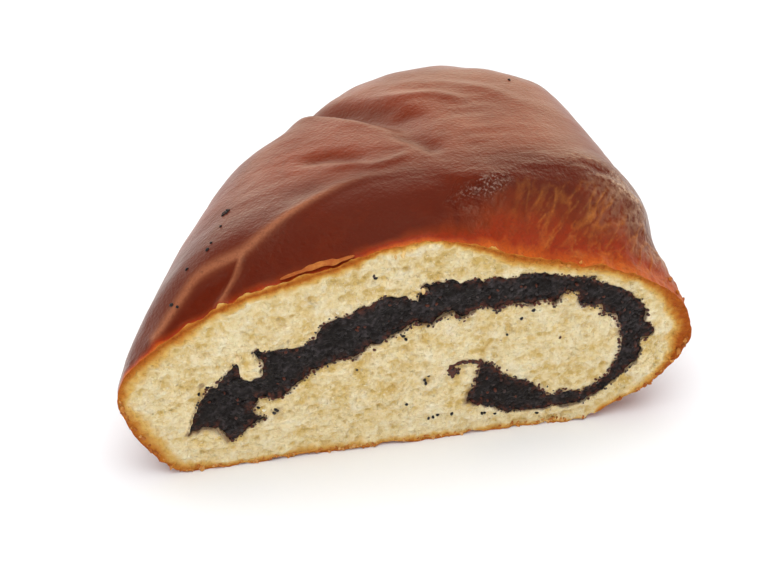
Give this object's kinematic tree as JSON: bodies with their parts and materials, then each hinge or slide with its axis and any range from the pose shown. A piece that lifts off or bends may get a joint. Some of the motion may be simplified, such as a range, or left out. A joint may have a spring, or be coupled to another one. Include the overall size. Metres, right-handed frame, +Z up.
{
  "type": "bread roll",
  "caption": "Half of a glazed sweet bread roll, cut across to show the rolled-up poppy-seed filling, resting on its flat base.",
  "frame": {"origin": "under the middle of the roll's own box, on the surface that it rests on", "axes": "+Z up, +X along the cut towards the thick end of the spiral's bend, +Y from the cut to the rounded end; the cut face looks to -Y"},
  "size_m": [0.106, 0.083, 0.0507],
  "materials": {
    "bread": "glazed red-brown crust, cream crumb on the cut",
    "poppy_seed_filling": "matte, granular"
  },
  "bodies": {
    "root": {"bread": "bread", "poppy_seed_filling": "poppy_seed_filling"}
  },
  "joints": []
}
